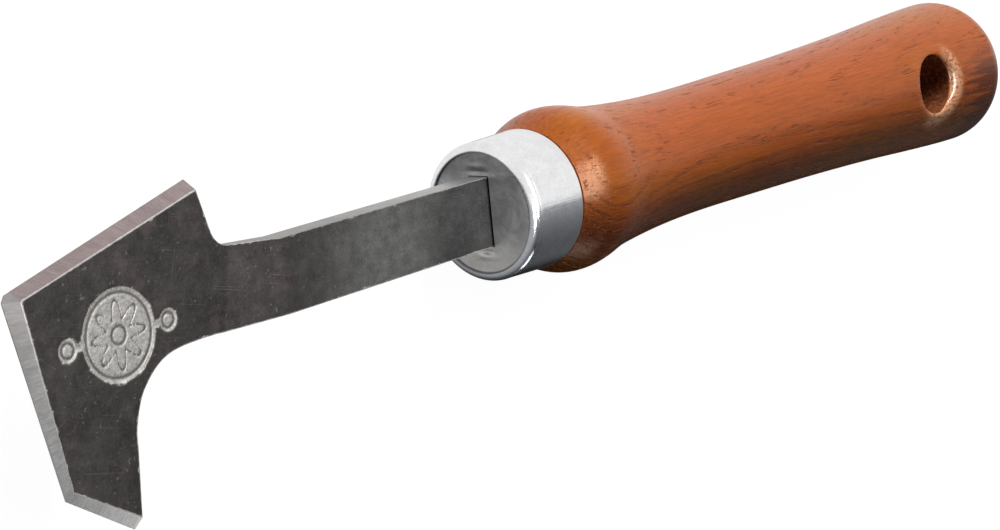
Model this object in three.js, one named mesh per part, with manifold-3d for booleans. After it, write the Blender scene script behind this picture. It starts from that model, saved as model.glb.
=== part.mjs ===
// Scraper knife: a crooked flat steel head on a flat shank, tang set in a turned ash handle,
// with a drawn metal ferrule over the neck of the handle. Units are millimetres.
// While it is being drawn, X runs along the handle from the ferrule's front face (x = 0),
// Y lies in the plane of the blade and Z is the blade's normal. The whole tool is moved at the
// end so that the middle of the underside of its bounding box is the origin.
import * as THREE from 'three';
import Module from 'manifold-3d';

// ---- shank and head -----------------------------------------------------------------------
const SHANK_TOP = 7.09;          // upper long edge of the shank
const SHANK_BOTTOM = -6.6;       // lower long edge of the shank
const SHANK_T = 4.4;             // plate thickness of the shank
const HEAD_T = 2.3;              // plate thickness of the forged-out head
const TAPER_FROM = -57.0;        // the shank starts to thin here, going forward
const TAPER_TO = -72.0;          // full head thinness from here on
const EDGE_LAND = 0.2;           // square land left below the ground bevels
const NOTCH = [-71.5, 8.5];      // inner corner between the shank and the short point
const NOTCH_R = 4.6;             // radius in that corner
const SHORT_POINT = [-75.0, 20.6];   // upper point of the head, on the back face
const NOSE = [-116.1, 9.63];         // where the upper and front edges would meet, back face
const NOSE_CUT = [0.9, 0.9];         // how far back along each of them the corner is cut off
const HEEL = [-108.7, -25.55];       // lower front corner of the head, on the back face
const HOOK_TIP = [-95.3, -34.35];    // lower point of the hook, on the back face
const TOP_BEVEL = [1.84, 1.5];       // bevel width at the short point and at the nose
const FRONT_BEVEL = [2.2, 0.35];     // bevel width at the nose and at the heel
const LOW_BEVEL = [1.5, 2.1];        // bevel width at the heel and at the hook tip
const HOOK_INSIDE = [                // inside of the hook, from the tip back to the shank
  [-94.05, -20.8], [-93.75, -17.4], [-92.1, -12.8], [-89.75, -9.85],
  [-86.65, -7.55], [-82.9, -6.45], [-77.7, -6.15], [-66.0, -6.35],
];

// ---- tang ---------------------------------------------------------------------------------
const SHOULDER_X = 1.0;          // the full width of the shank ends here, behind the ferrule face
const TANG_LENGTH = 74.0;
const TANG_ROOT = [9.0, 4.2];    // width and thickness where it leaves the shoulder
const TANG_POINT = [3.6, 2.6];   // width and thickness at its end

// ---- ferrule ------------------------------------------------------------------------------
const FERRULE_R = 14.0;          // outer radius at the rear
const FERRULE_FRONT_R = 13.65;   // outer radius behind the front rim
const FERRULE_L = 14.3;
const FERRULE_WALL = 1.0;
const FERRULE_RIM_R = 1.6;       // outer radius of the rolled front rim
const FERRULE_SINK = 0.45;       // how far the slotted face lies behind the rim
const FACE_FLAT_R = 11.9;        // radius of the flat slotted face
const FIT_GAP = 0.3;             // clearance between neighbouring pieces

// ---- handle -------------------------------------------------------------------------------
const HANDLE_PROFILE = [         // distance behind the ferrule face, radius
  [14.6, 13.9], [18.0, 15.45], [21.0, 16.45], [24.2, 16.75], [28.0, 16.35], [35.7, 14.91],
  [50.7, 13.75], [67.2, 13.42], [88.7, 13.8], [113.4, 14.4], [138.1, 15.37], [159.6, 16.58],
  [172.0, 17.2], [179.4, 17.43],
];
const HANDLE_END_X = 188.0;
const HANDLE_END_R = 8.55;       // rounding of the rear end
const HOLE_X = 154.4;            // hanging hole, distance behind the ferrule face
const HOLE_R = 7.0;
const HOLE_LIP = [4.6, 2.0];     // width and depth of the eased lip
const HOLE_TURN = 4.0;           // degrees the hole is turned about the handle, off the blade's normal
const SEGMENTS = 36;             // flats round each turned piece, one of them facing straight down

const wasm = await Module();
wasm.setup();

function toManifold(positions, triangles) {
  return new wasm.Manifold(new wasm.Mesh({
    numProp: 3,
    vertProperties: new Float32Array(positions.flat()),
    triVerts: new Uint32Array(triangles.flat()),
  }));
}

// Solid of revolution about X. profile holds [x, r] pairs, both ends on the axis.
function revolve(profile, segments = SEGMENTS) {
  const rings = profile.slice(1, -1);
  const positions = [[profile[0][0], 0, 0]];
  for (const [x, r] of rings) {
    for (let i = 0; i < segments; i++) {
      const a = (2 * Math.PI * (i + 0.5)) / segments;
      positions.push([x, r * Math.cos(a), r * Math.sin(a)]);
    }
  }
  positions.push([profile.at(-1)[0], 0, 0]);
  const last = positions.length - 1;
  const at = (ring, i) => 1 + ring * segments + (i % segments);
  const triangles = [];
  for (let i = 0; i < segments; i++) {
    triangles.push([0, at(0, i + 1), at(0, i)]);
    triangles.push([last, at(rings.length - 1, i), at(rings.length - 1, i + 1)]);
    for (let ring = 0; ring < rings.length - 1; ring++) {
      triangles.push([at(ring, i), at(ring, i + 1), at(ring + 1, i + 1)]);
      triangles.push([at(ring, i), at(ring + 1, i + 1), at(ring + 1, i)]);
    }
  }
  return toManifold(positions, triangles);
}

// Solid through a stack of outlines with equal point counts; levels rise in Z.
function loft(levels) {
  const n = levels[0].outline.length;
  const positions = levels.flatMap(({ outline, z }) => outline.map(([x, y]) => [x, y, z]));
  const triangles = [];
  for (let k = 0; k < levels.length - 1; k++) {
    for (let i = 0; i < n; i++) {
      const a = k * n + i;
      const b = k * n + ((i + 1) % n);
      triangles.push([a, b, b + n], [a, b + n, a + n]);
    }
  }
  const cap = (outline) => THREE.ShapeUtils.triangulateShape(
    outline.map(([x, y]) => new THREE.Vector2(x, y)), []);
  const top = (levels.length - 1) * n;
  for (const [a, b, c] of cap(levels[0].outline)) triangles.push([a, c, b]);
  for (const [a, b, c] of cap(levels.at(-1).outline)) triangles.push([top + a, top + b, top + c]);
  return toManifold(positions, triangles);
}

// Straight or tapered bar along X, from x0 to x1, sizes given as [width in Y, thickness in Z].
function bar(x0, x1, size0, size1) {
  const corners = [[-1, -1], [1, -1], [1, 1], [-1, 1]];
  const ring = (x, [w, t]) => corners.map(([sy, sz]) => [x, (sy * w) / 2, (sz * t) / 2]);
  return toManifold([...ring(x0, size0), ...ring(x1, size1)], [
    [0, 2, 1], [0, 3, 2], [4, 5, 6], [4, 6, 7],
    [0, 1, 5], [0, 5, 4], [1, 2, 6], [1, 6, 5], [2, 3, 7], [2, 7, 6], [3, 0, 4], [3, 4, 7],
  ]);
}

// Prism across the blade (along Y) with a cross-section drawn in X and Z.
function crossPrism(section, halfWidth) {
  return loft([
    { outline: section, z: -halfWidth }, { outline: section, z: halfWidth },
  ]).rotate([90, 0, 0]);
}

// Point where the line through p0 and p1 meets the line through q0 and q1.
function meet(p0, p1, q0, q1) {
  const d = [p1[0] - p0[0], p1[1] - p0[1]];
  const e = [q1[0] - q0[0], q1[1] - q0[1]];
  const t = ((q0[0] - p0[0]) * e[1] - (q0[1] - p0[1]) * e[0]) / (d[0] * e[1] - d[1] * e[0]);
  return [p0[0] + t * d[0], p0[1] + t * d[1]];
}

// Point a distance d from a toward b.
function along(a, b, d) {
  const length = Math.hypot(b[0] - a[0], b[1] - a[1]);
  return [a[0] + ((b[0] - a[0]) * d) / length, a[1] + ((b[1] - a[1]) * d) / length];
}

// Edge a-b moved inward (to its left) by wa at a and wb at b.
function inset(a, b, [wa, wb]) {
  const length = Math.hypot(b[0] - a[0], b[1] - a[1]);
  const n = [-(b[1] - a[1]) / length, (b[0] - a[0]) / length];
  return [[a[0] + n[0] * wa, a[1] + n[1] * wa], [b[0] + n[0] * wb, b[1] + n[1] * wb]];
}

// Arc that eases the corner at p between the directions of a and b.
function easeCorner(a, p, b, radius, steps) {
  const unit = (q) => {
    const l = Math.hypot(q[0] - p[0], q[1] - p[1]);
    return [(q[0] - p[0]) / l, (q[1] - p[1]) / l];
  };
  const u = unit(a);
  const v = unit(b);
  const reach = radius / Math.tan(Math.acos(u[0] * v[0] + u[1] * v[1]) / 2);
  const p0 = [p[0] + u[0] * reach, p[1] + u[1] * reach];
  const p1 = [p[0] + v[0] * reach, p[1] + v[1] * reach];
  const curve = new THREE.QuadraticBezierCurve(
    new THREE.Vector2(...p0), new THREE.Vector2(...p), new THREE.Vector2(...p1));
  return curve.getPoints(steps).map((q) => [q.x, q.y]);
}

// The head and shank outline, anticlockwise seen from +Z, on the back face and on the front face.
function bladeOutlines() {
  const hook = new THREE.SplineCurve(HOOK_INSIDE.map((p) => new THREE.Vector2(...p)))
    .getPoints(24).map((p) => [p.x, p.y]);
  const notch = easeCorner(SHORT_POINT, NOTCH, [TAPER_FROM, SHANK_TOP], NOTCH_R, 5).reverse();
  const shank = [[SHOULDER_X, SHANK_BOTTOM], [SHOULDER_X, SHANK_TOP], [TAPER_FROM, SHANK_TOP]];
  const topEdge = inset(SHORT_POINT, NOSE, TOP_BEVEL);
  const frontEdge = inset(NOSE, HEEL, FRONT_BEVEL);
  const lowEdge = inset(HEEL, HOOK_TIP, LOW_BEVEL);
  const noseBack = [along(NOSE, SHORT_POINT, NOSE_CUT[0]), along(NOSE, HEEL, NOSE_CUT[1])];
  const nose = meet(...topEdge, ...frontEdge);
  const ground = [
    meet(...topEdge, NOTCH, SHORT_POINT),
    along(nose, topEdge[0], 0.1),
    along(nose, frontEdge[1], 0.1),
    meet(...frontEdge, ...lowEdge),
    meet(...lowEdge, HOOK_TIP, HOOK_INSIDE[0]),
  ];
  const rest = [...hook, [TAPER_FROM, SHANK_BOTTOM], ...shank, ...notch];
  return {
    back: [SHORT_POINT, ...noseBack, HEEL, HOOK_TIP, ...rest],
    front: [...ground, ...rest],
  };
}

function makeBlade() {
  const { back, front } = bladeOutlines();
  const plate = loft([
    { outline: back, z: -SHANK_T / 2 }, { outline: back, z: -HEAD_T / 2 + EDGE_LAND },
    { outline: front, z: HEAD_T / 2 }, { outline: front, z: SHANK_T / 2 },
  ]);
  const thinning = [[-140, HEAD_T / 2], [TAPER_TO, HEAD_T / 2], [TAPER_FROM, SHANK_T / 2],
    [TAPER_FROM + 1, SHANK_T / 2 + 0.8], [-140, SHANK_T / 2 + 0.8]];
  const above = crossPrism(thinning, 60);
  const below = crossPrism(thinning.map(([x, z]) => [x, -z]).reverse(), 60);
  const tang = bar(SHOULDER_X - 0.5, SHOULDER_X + TANG_LENGTH, TANG_ROOT, TANG_POINT);
  return plate.subtract(above).subtract(below).add(tang);
}

function makeFerrule() {
  const arc = (cx, cr, radius, from, to, steps) => Array.from({ length: steps + 1 }, (_, i) => {
    const a = ((from + ((to - from) * i) / steps) * Math.PI) / 180;
    return [cx + radius * Math.cos(a), cr + radius * Math.sin(a)];
  });
  const rimX = FERRULE_RIM_R - FERRULE_SINK;
  const rim = arc(rimX, FERRULE_FRONT_R - FERRULE_RIM_R, FERRULE_RIM_R, 180, 90, 8);
  const outer = revolve([[0, 0], [0, FACE_FLAT_R], ...rim,
    [FERRULE_L, FERRULE_R], [FERRULE_L, 0]]);
  const bore = revolve([[FERRULE_WALL, 0], [FERRULE_WALL, FERRULE_R - FERRULE_WALL - 0.8],
    [FERRULE_WALL + 0.8, FERRULE_R - FERRULE_WALL],
    [FERRULE_L + 1, FERRULE_R - FERRULE_WALL], [FERRULE_L + 1, 0]]);
  const slotMiddle = (SHANK_TOP + SHANK_BOTTOM) / 2;
  const slotSize = [SHANK_TOP - SHANK_BOTTOM + 2 * FIT_GAP, SHANK_T + 2 * FIT_GAP];
  const slot = bar(-3, FERRULE_WALL + 2, slotSize, slotSize).translate([0, slotMiddle, 0]);
  return outer.subtract(bore).subtract(slot);
}

// Cutter for the hanging hole: a straight bore that opens into an eased lip at both ends.
function holeCutter() {
  const surface = 16.2;
  const [lipWidth, lipDepth] = HOLE_LIP;
  const quarter = [0, 22.5, 45, 67.5, 90].map((deg) => {
    const a = (deg * Math.PI) / 180;
    return [surface - lipDepth * (1 - Math.sin(a)), HOLE_R + lipWidth * (1 - Math.cos(a))];
  });
  const end = [[22, HOLE_R + lipWidth + 0.6], [22, 0]];
  const half = [...quarter, ...end];
  const mirrored = half.map(([x, r]) => [-x, r]).reverse();
  return revolve([...mirrored, ...half], 40).rotate([0, 90, 0]);
}

function makeHandle() {
  const swell = new THREE.SplineCurve(HANDLE_PROFILE.map((p) => new THREE.Vector2(...p)))
    .getPoints(40).map((p) => [p.x, p.y]);
  const endCentre = [HANDLE_END_X - HANDLE_END_R, HANDLE_PROFILE.at(-1)[1] - HANDLE_END_R];
  const rounding = [75, 60, 45, 30, 15, 0].map((deg) => {
    const a = (deg * Math.PI) / 180;
    return [endCentre[0] + HANDLE_END_R * Math.cos(a), endCentre[1] + HANDLE_END_R * Math.sin(a)];
  });
  const neckR = FERRULE_R - FERRULE_WALL - FIT_GAP;
  const neckX = FERRULE_WALL + FIT_GAP;
  const body = revolve([[neckX, 0], [neckX, neckR - 1], [neckX + 1, neckR],
    [FERRULE_L + FIT_GAP, neckR], ...swell, ...rounding, [HANDLE_END_X, 0]]);
  const wider = ([w, t]) => [w + 2 * FIT_GAP, t + 2 * FIT_GAP];
  const bore = bar(neckX - 2, SHOULDER_X + TANG_LENGTH + FIT_GAP,
    wider(TANG_ROOT), wider(TANG_POINT));
  const hole = holeCutter().rotate([-HOLE_TURN, 0, 0]).translate([HOLE_X, 0, 0]);
  return body.subtract(bore).subtract(hole);
}

function toMesh(name, solid, color, metalness, roughness) {
  const { vertProperties, triVerts } = solid.getMesh();
  const geometry = new THREE.BufferGeometry();
  geometry.setAttribute('position', new THREE.BufferAttribute(new Float32Array(vertProperties), 3));
  geometry.setIndex(new THREE.BufferAttribute(new Uint32Array(triVerts), 1));
  geometry.computeVertexNormals();
  const mesh = new THREE.Mesh(geometry,
    new THREE.MeshStandardMaterial({ color, metalness, roughness }));
  mesh.name = name;
  return mesh;
}

const tool = new THREE.Group();
tool.name = 'scraper_knife';
tool.add(toMesh('blade', makeBlade(), 0x4a4744, 0.9, 0.5));
tool.add(toMesh('ferrule', makeFerrule(), 0xb9bcc0, 1.0, 0.3));
tool.add(toMesh('handle', makeHandle(), 0xa8532c, 0.0, 0.35));

const box = new THREE.Box3().setFromObject(tool);
const middle = box.getCenter(new THREE.Vector3());
for (const mesh of tool.children) mesh.geometry.translate(-middle.x, -middle.y, -box.min.z);

export default tool;
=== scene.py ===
"""Looks for a scraper knife: forged blade, drawn ferrule and turned ash handle."""
import math

import bmesh
import bpy
import numpy as np
from mathutils import Matrix, Vector


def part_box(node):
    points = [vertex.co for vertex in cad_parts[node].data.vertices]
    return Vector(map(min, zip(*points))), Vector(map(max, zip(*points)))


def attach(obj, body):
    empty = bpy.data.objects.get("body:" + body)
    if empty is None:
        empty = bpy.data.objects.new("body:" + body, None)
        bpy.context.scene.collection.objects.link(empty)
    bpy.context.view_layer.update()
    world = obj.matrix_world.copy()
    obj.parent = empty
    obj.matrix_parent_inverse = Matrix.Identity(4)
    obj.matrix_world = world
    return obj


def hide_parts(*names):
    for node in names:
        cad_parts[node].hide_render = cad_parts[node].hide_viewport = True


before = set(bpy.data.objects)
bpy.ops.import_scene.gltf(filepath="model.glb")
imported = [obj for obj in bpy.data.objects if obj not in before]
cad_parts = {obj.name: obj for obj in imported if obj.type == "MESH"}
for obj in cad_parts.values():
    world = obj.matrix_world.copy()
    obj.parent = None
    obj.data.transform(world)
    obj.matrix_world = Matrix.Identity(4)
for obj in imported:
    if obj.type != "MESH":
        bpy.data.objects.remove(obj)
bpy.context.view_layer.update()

MM = 0.001

# The shapes below are drawn in millimetres from the middle of the ferrule's slotted face:
# x runs back along the handle, y lies in the plane of the blade, z is the blade's normal.
FERRULE_SINK = 0.45
ferrule_low, ferrule_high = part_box("ferrule")
ORIGIN = np.array([
    ferrule_low.x + FERRULE_SINK * MM,
    (ferrule_low.y + ferrule_high.y) / 2,
    (ferrule_low.z + ferrule_high.z) / 2,
])

# ---- sizes of the blade ----------------------------------------------
SHANK_TOP, SHANK_BOTTOM, SHANK_T = 7.09, -6.6, 4.4
HEAD_T, EDGE_LAND = 2.3, 0.2
TAPER_FROM, TAPER_TO, TAPER_BOTTOM = -57.0, -72.0, -6.32
NOTCH, NOTCH_R = (-71.5, 8.5), 4.6
SHORT_POINT, NOSE, NOSE_CUT = (-75.0, 20.6), (-116.1, 9.63), 0.9
HEEL, HOOK_TIP = (-108.7, -25.55), (-95.3, -34.35)
TOP_BEVEL, FRONT_BEVEL, LOW_BEVEL = (1.84, 1.5), (2.2, 0.35), (1.5, 2.1)
HOOK_INSIDE = [(-94.05, -20.8), (-93.75, -17.4), (-92.1, -12.8), (-89.75, -9.85),
               (-86.65, -7.55), (-82.9, -6.45), (-77.7, -6.15), (-73.5, -6.2)]
HOOK_CORNER_CUT, FRONT_CORNER_CUT = 0.5, 0.1
SHOULDER_X, TANG_END_X = 1.0, 75.0
TANG_ROOT, TANG_POINT = (9.0, 4.2), (3.6, 2.6)
EASED_EDGE, EASED_ANGLE, SHARP_ANGLE = 0.16, 25, 38
UPPER_MARK_L, UPPER_MARK_W, FAR_FROM_EDGE = 40.6, 2.0, 9.0

# Stations along the blade for each stretch, and points across it and up its walls.
TANG_N, SHANK_N, TAPER_N, NOTCH_N, POINT_N, HEAD_N, NOSE_N, CUT_N = 12, 40, 24, 9, 40, 116, 44, 4
HOOK_N, HOOK_TURN, ACROSS_N, WALL_N = 169, 29, 132, 8
MIDDLE_SHARE = 0.68

# ---- sizes of the stamped rosette ------------------------------------
STAMP, STAMP_DEPTH, GROUND_SHARE = np.array([-95.0, -1.2]), 0.16, 0.45
PETALS, PETAL_R, PETAL_SWING = 8, 4.3, 1.5
EYE_R, RING_R, GROUND_R = 1.5, 7.0, 7.9
BEAD_X, BEAD_RING_R, BEAD_GROUND_R = 10.9, 1.25, 2.0
STEM_X, STEM_HALF_L, STEM_HALF_W = 8.5, 1.2, 0.7
LINE_HALF, FINE_LINE_HALF, LINE_SOFT, GROUND_SOFT = 0.26, 0.25, 0.16, 0.3

# ---- sizes of the ferrule --------------------------------------------
FERRULE_R, FERRULE_FRONT_R, FERRULE_L, FERRULE_WALL = 14.0, 13.65, 14.3, 1.0
RIM_R, FACE_FLAT_R = 1.6, 11.9
SLOT_GAP, TOP_GAP = 0.3, 0.12
LIP_R, INNER_CORNER_R = 0.42, 0.8
CAP_TURN_N, CAP_FACE_N, CAP_BEAD_N, CAP_SIDE_N = 288, 60, 40, 40
# Crescent above the slot and its bite, dent below it and the swell there: the height along x,
# then the centre and the half width in y, and the same in z.
STAKES = [(-0.20, 9.1, 0.55, -0.2, 1.9), (0.30, 8.0, 0.45, 0.0, 2.2),
          (0.26, -7.7, 0.5, 0.4, 1.3), (-0.14, -8.7, 0.6, 0.3, 1.9)]

# ---- sizes of the handle ---------------------------------------------
HANDLE_PROFILE = [(14.6, 13.9), (18.0, 15.45), (21.0, 16.45), (24.2, 16.75), (28.0, 16.35),
                  (35.7, 14.91), (50.7, 13.75), (67.2, 13.42), (88.7, 13.8), (113.4, 14.4),
                  (138.1, 15.37), (159.6, 16.58), (172.0, 17.2), (179.4, 17.43)]
HANDLE_END_X, HANDLE_END_R = 188.0, 8.55
NECK_X, NECK_R = 1.3, 12.7
HOLE_X, HOLE_R, HOLE_TURN = 154.4, 7.0, 4.0
MOUTH_Z, LIP_SLOPE, LIP_MIN_DEPTH = 14.2, 2.3, 0.3
WINDOW_HALF_L, WINDOW_HALF_N = 13.4, 26
TURN_N, OUTLINE_N, END_N, LIP_N, SKIRT_N, BORE_N, DISC_N = 192, 190, 26, 18, 10, 16, 4
BORE_REACH, LIP_REACH = (0.05, 0.04), (3.2, 1.2)
HEART_ASIDE, HEART_BELOW, RING_SPACING = 34.0, 62.0, 1.7

# ---- colours, as linear red, green and blue --------------------------
HEAD_SCALE, SHANK_SCALE = (0.040, 0.036, 0.0355), (0.115, 0.115, 0.112)
BROWN_SCALE, PALE_SPECK = (0.092, 0.068, 0.068), (0.16, 0.153, 0.146)
DEEP_SPECK, SCRATCH, FROST = (0.03, 0.027, 0.026), (0.15, 0.145, 0.14), (0.40, 0.39, 0.37)
DRAWN_LINE, FROST_GLINT, RUBBED = (0.045, 0.042, 0.04), (0.60, 0.59, 0.57), (0.42, 0.405, 0.39)
# The next line's two colours are shaded and lit copies of the ground bevel: painted shade above,
# painted light below.
GROUND_SHADED_ABOVE, GROUND_LIT_BELOW = (0.32, 0.315, 0.31), (0.99, 0.985, 0.98)
HEAT_TINT, KEEN_EDGE = (0.25, 0.195, 0.19), (0.8, 0.79, 0.77)
CUT_DARK, CUT_PALE, CUT_STAIN = (0.34, 0.33, 0.325), (0.46, 0.44, 0.42), (0.16, 0.14, 0.13)
# The next line's last colour is a bluish painted shade for the ferrule's lower side.
CAP_DARK, CAP_PALE, CAP_SHADE_TINT = (0.84, 0.845, 0.86), (0.93, 0.93, 0.93), (0.80, 0.835, 0.90)
FACE_DARK, FACE_PALE, FACE_LOWER = (0.56, 0.565, 0.58), (0.75, 0.755, 0.77), (0.52, 0.495, 0.46)
# The next line's first colour is painted shade for the crease round the ferrule's face.
CREASE_SHADE, SCUFF, PIT = (0.10, 0.095, 0.09), (0.95, 0.95, 0.95), (0.25, 0.25, 0.25)
ASH_RED, ASH_GOLD, ASH_BAND = (0.43, 0.088, 0.011), (0.45, 0.145, 0.004), (0.22, 0.042, 0.006)
# The next line's second colour is a painted highlight for the pores on the under side.
PORE_DARK, PORE_HIGHLIGHT = (0.075, 0.015, 0.004), (0.56, 0.19, 0.06)
# On the next line the second colour is raw wood lightened as a painted highlight, and the third is
# painted shade inside the ferrule.
END_GRAIN, RAW_LIP_AND_HIGHLIGHT, SHADE_IN_FERRULE = (0.10, 0.018, 0.005), (0.95, 0.48, 0.25), (0.03, 0.008, 0.003)
# The next line's first colour is painted shade inside the hole's bore.
BORE_SHADE, BORE_TORN = (0.15, 0.04, 0.014), (0.46, 0.17, 0.07)
VARNISH_TINT, FLOOR_GREY, WHITE = (1.0, 0.66, 0.42, 1), (0.14, 0.14, 0.14, 1), (1, 1, 1, 1)


# ---- meshes from arrays ----------------------------------------------
def to_row(points):
    """Drawing millimetres to the row frame's metres."""
    return np.asarray(points, float) * MM + ORIGIN


def grid_faces(rows, columns, start=0, close_rows=False, close_columns=False):
    """Quads of a grid whose vertex (i, j) is number start + i * columns + j."""
    i = np.arange(rows if close_rows else rows - 1)
    j = np.arange(columns if close_columns else columns - 1)
    i, j = np.meshgrid(i, j, indexing="ij")
    i, j = i.ravel(), j.ravel()
    i2, j2 = (i + 1) % rows, (j + 1) % columns
    return start + np.stack(
        [i * columns + j, i2 * columns + j, i2 * columns + j2, i * columns + j2], axis=1)


class Patches:
    """Grid surfaces gathered into one closed mesh, each with its material number.

    chart gives a grid its own two flat coordinates in millimetres, kept as the UV map."""

    def __init__(self):
        self.points, self.quads, self.slots, self.charts, self.count = [], [], [], [], 0

    def add(self, grid, slot=0, chart=None, **closing):
        rows, columns = grid.shape[:2]
        quads = grid_faces(rows, columns, self.count, **closing)
        chart = grid[..., :2] if chart is None else chart
        self.points.append(grid.reshape(-1, 3))
        self.quads.append(quads)
        self.charts.append(chart.reshape(-1, 2))
        self.slots.append(np.full(len(quads), slot))
        self.count += rows * columns

    def piece(self, name, materials, merge=0.002, marks=()):
        """The mesh with doubles merged, empty faces dropped and all normals turned outward.

        marks are (name, function of drawing points) pairs, kept as point attributes."""
        points = np.concatenate(self.points)
        corners = np.concatenate(self.quads)
        keys = np.round(points / merge).astype(np.int64)
        _, first, renumber = np.unique(keys, axis=0, return_index=True, return_inverse=True)
        points, quads = points[first], renumber.reshape(-1)[corners]
        real = quads != np.roll(quads, -1, axis=1)
        keep = real.sum(axis=1) > 2
        real, quads, corners = real[keep], quads[keep], corners[keep]
        mesh = bpy.data.meshes.new(name)
        mesh.vertices.add(len(points))
        mesh.vertices.foreach_set("co", to_row(points).ravel())
        mesh.loops.add(int(real.sum()))
        mesh.loops.foreach_set("vertex_index", quads[real])
        mesh.polygons.add(len(quads))
        starts = np.concatenate([[0], np.cumsum(real.sum(axis=1))[:-1]])
        mesh.polygons.foreach_set("loop_start", starts)
        mesh.polygons.foreach_set("material_index", np.concatenate(self.slots)[keep])
        mesh.polygons.foreach_set("use_smooth", np.ones(len(quads), bool))
        mesh.update(calc_edges=True)
        chart = mesh.uv_layers.new(name="chart")
        chart.data.foreach_set("uv", np.concatenate(self.charts)[corners][real].ravel())
        for title, mark in marks:
            layer = mesh.attributes.new(title, "FLOAT", "POINT")
            layer.data.foreach_set("value", mark(points).astype(np.float32))
        for material in materials:
            mesh.materials.append(material)
        shell = bmesh.new()
        shell.from_mesh(mesh)
        bmesh.ops.recalc_face_normals(shell, faces=shell.faces)
        shell.to_mesh(mesh)
        shell.free()
        piece = bpy.data.objects.new(name, mesh)
        bpy.context.scene.collection.objects.link(piece)
        return piece


def spline(points, count):
    """A smooth curve through points: Catmull-Rom spans, then evenly spaced along its length."""
    p = np.asarray(points, float)
    p = np.concatenate([2 * p[:1] - p[1:2], p, 2 * p[-1:] - p[-2:-1]])
    t = np.linspace(0, 1, 24, endpoint=False)[:, None]
    spans = [
        0.5 * (2 * b + (c - a) * t + (2 * a - 5 * b + 4 * c - d) * t**2
               + (3 * b - a - 3 * c + d) * t**3)
        for a, b, c, d in zip(p[:-3], p[1:-2], p[2:-1], p[3:])]
    dense = np.concatenate(spans + [p[-2:-1]])
    return spread(dense, count)


def spread(path, count):
    """The polyline path taken again at count points evenly spaced along its length."""
    path = np.asarray(path, float)
    along = np.concatenate([[0], np.cumsum(np.linalg.norm(np.diff(path, axis=0), axis=1))])
    want = np.linspace(0, along[-1], count)
    return np.stack([np.interp(want, along, path[:, k]) for k in range(path.shape[1])], axis=1)


def line(a, b, count):
    return np.asarray(a, float) + np.linspace(0, 1, count)[:, None] * (np.subtract(b, a))


def meet(p0, p1, q0, q1):
    """The point where the line p0-p1 meets the line q0-q1."""
    p0, d, e = np.asarray(p0, float), np.subtract(p1, p0), np.subtract(q1, q0)
    w = np.subtract(q0, p0)
    t = (w[0] * e[1] - w[1] * e[0]) / (d[0] * e[1] - d[1] * e[0])
    return p0 + t * d


def along(a, b, distance):
    """The point a distance from a toward b."""
    a, b = np.asarray(a, float), np.asarray(b, float)
    return a + (b - a) * distance / np.linalg.norm(b - a)


def inset(a, b, widths):
    """The edge a-b moved to its left by one width at a and another at b."""
    a, b = np.asarray(a, float), np.asarray(b, float)
    d = (b - a) / np.linalg.norm(b - a)
    left = np.array([-d[1], d[0]])
    return a + left * widths[0], b + left * widths[1]


# ---- blade -----------------------------------------------------------
FACE, GROUND, SIDE = 0, 1, 2


def notch_arc(count):
    """Round corner between shank and short point: a parabola tangent to both sides."""
    corner = np.asarray(NOTCH, float)
    u = np.subtract((TAPER_FROM, SHANK_TOP), corner)
    v = np.subtract(SHORT_POINT, corner)
    u, v = u / np.linalg.norm(u), v / np.linalg.norm(v)
    reach = NOTCH_R / math.tan(math.acos(float(u @ v)) / 2)
    a, b = corner + u * reach, corner + v * reach
    t = np.linspace(0, 1, count)[:, None]
    return (1 - t)**2 * a + 2 * t * (1 - t) * corner + t**2 * b


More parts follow.
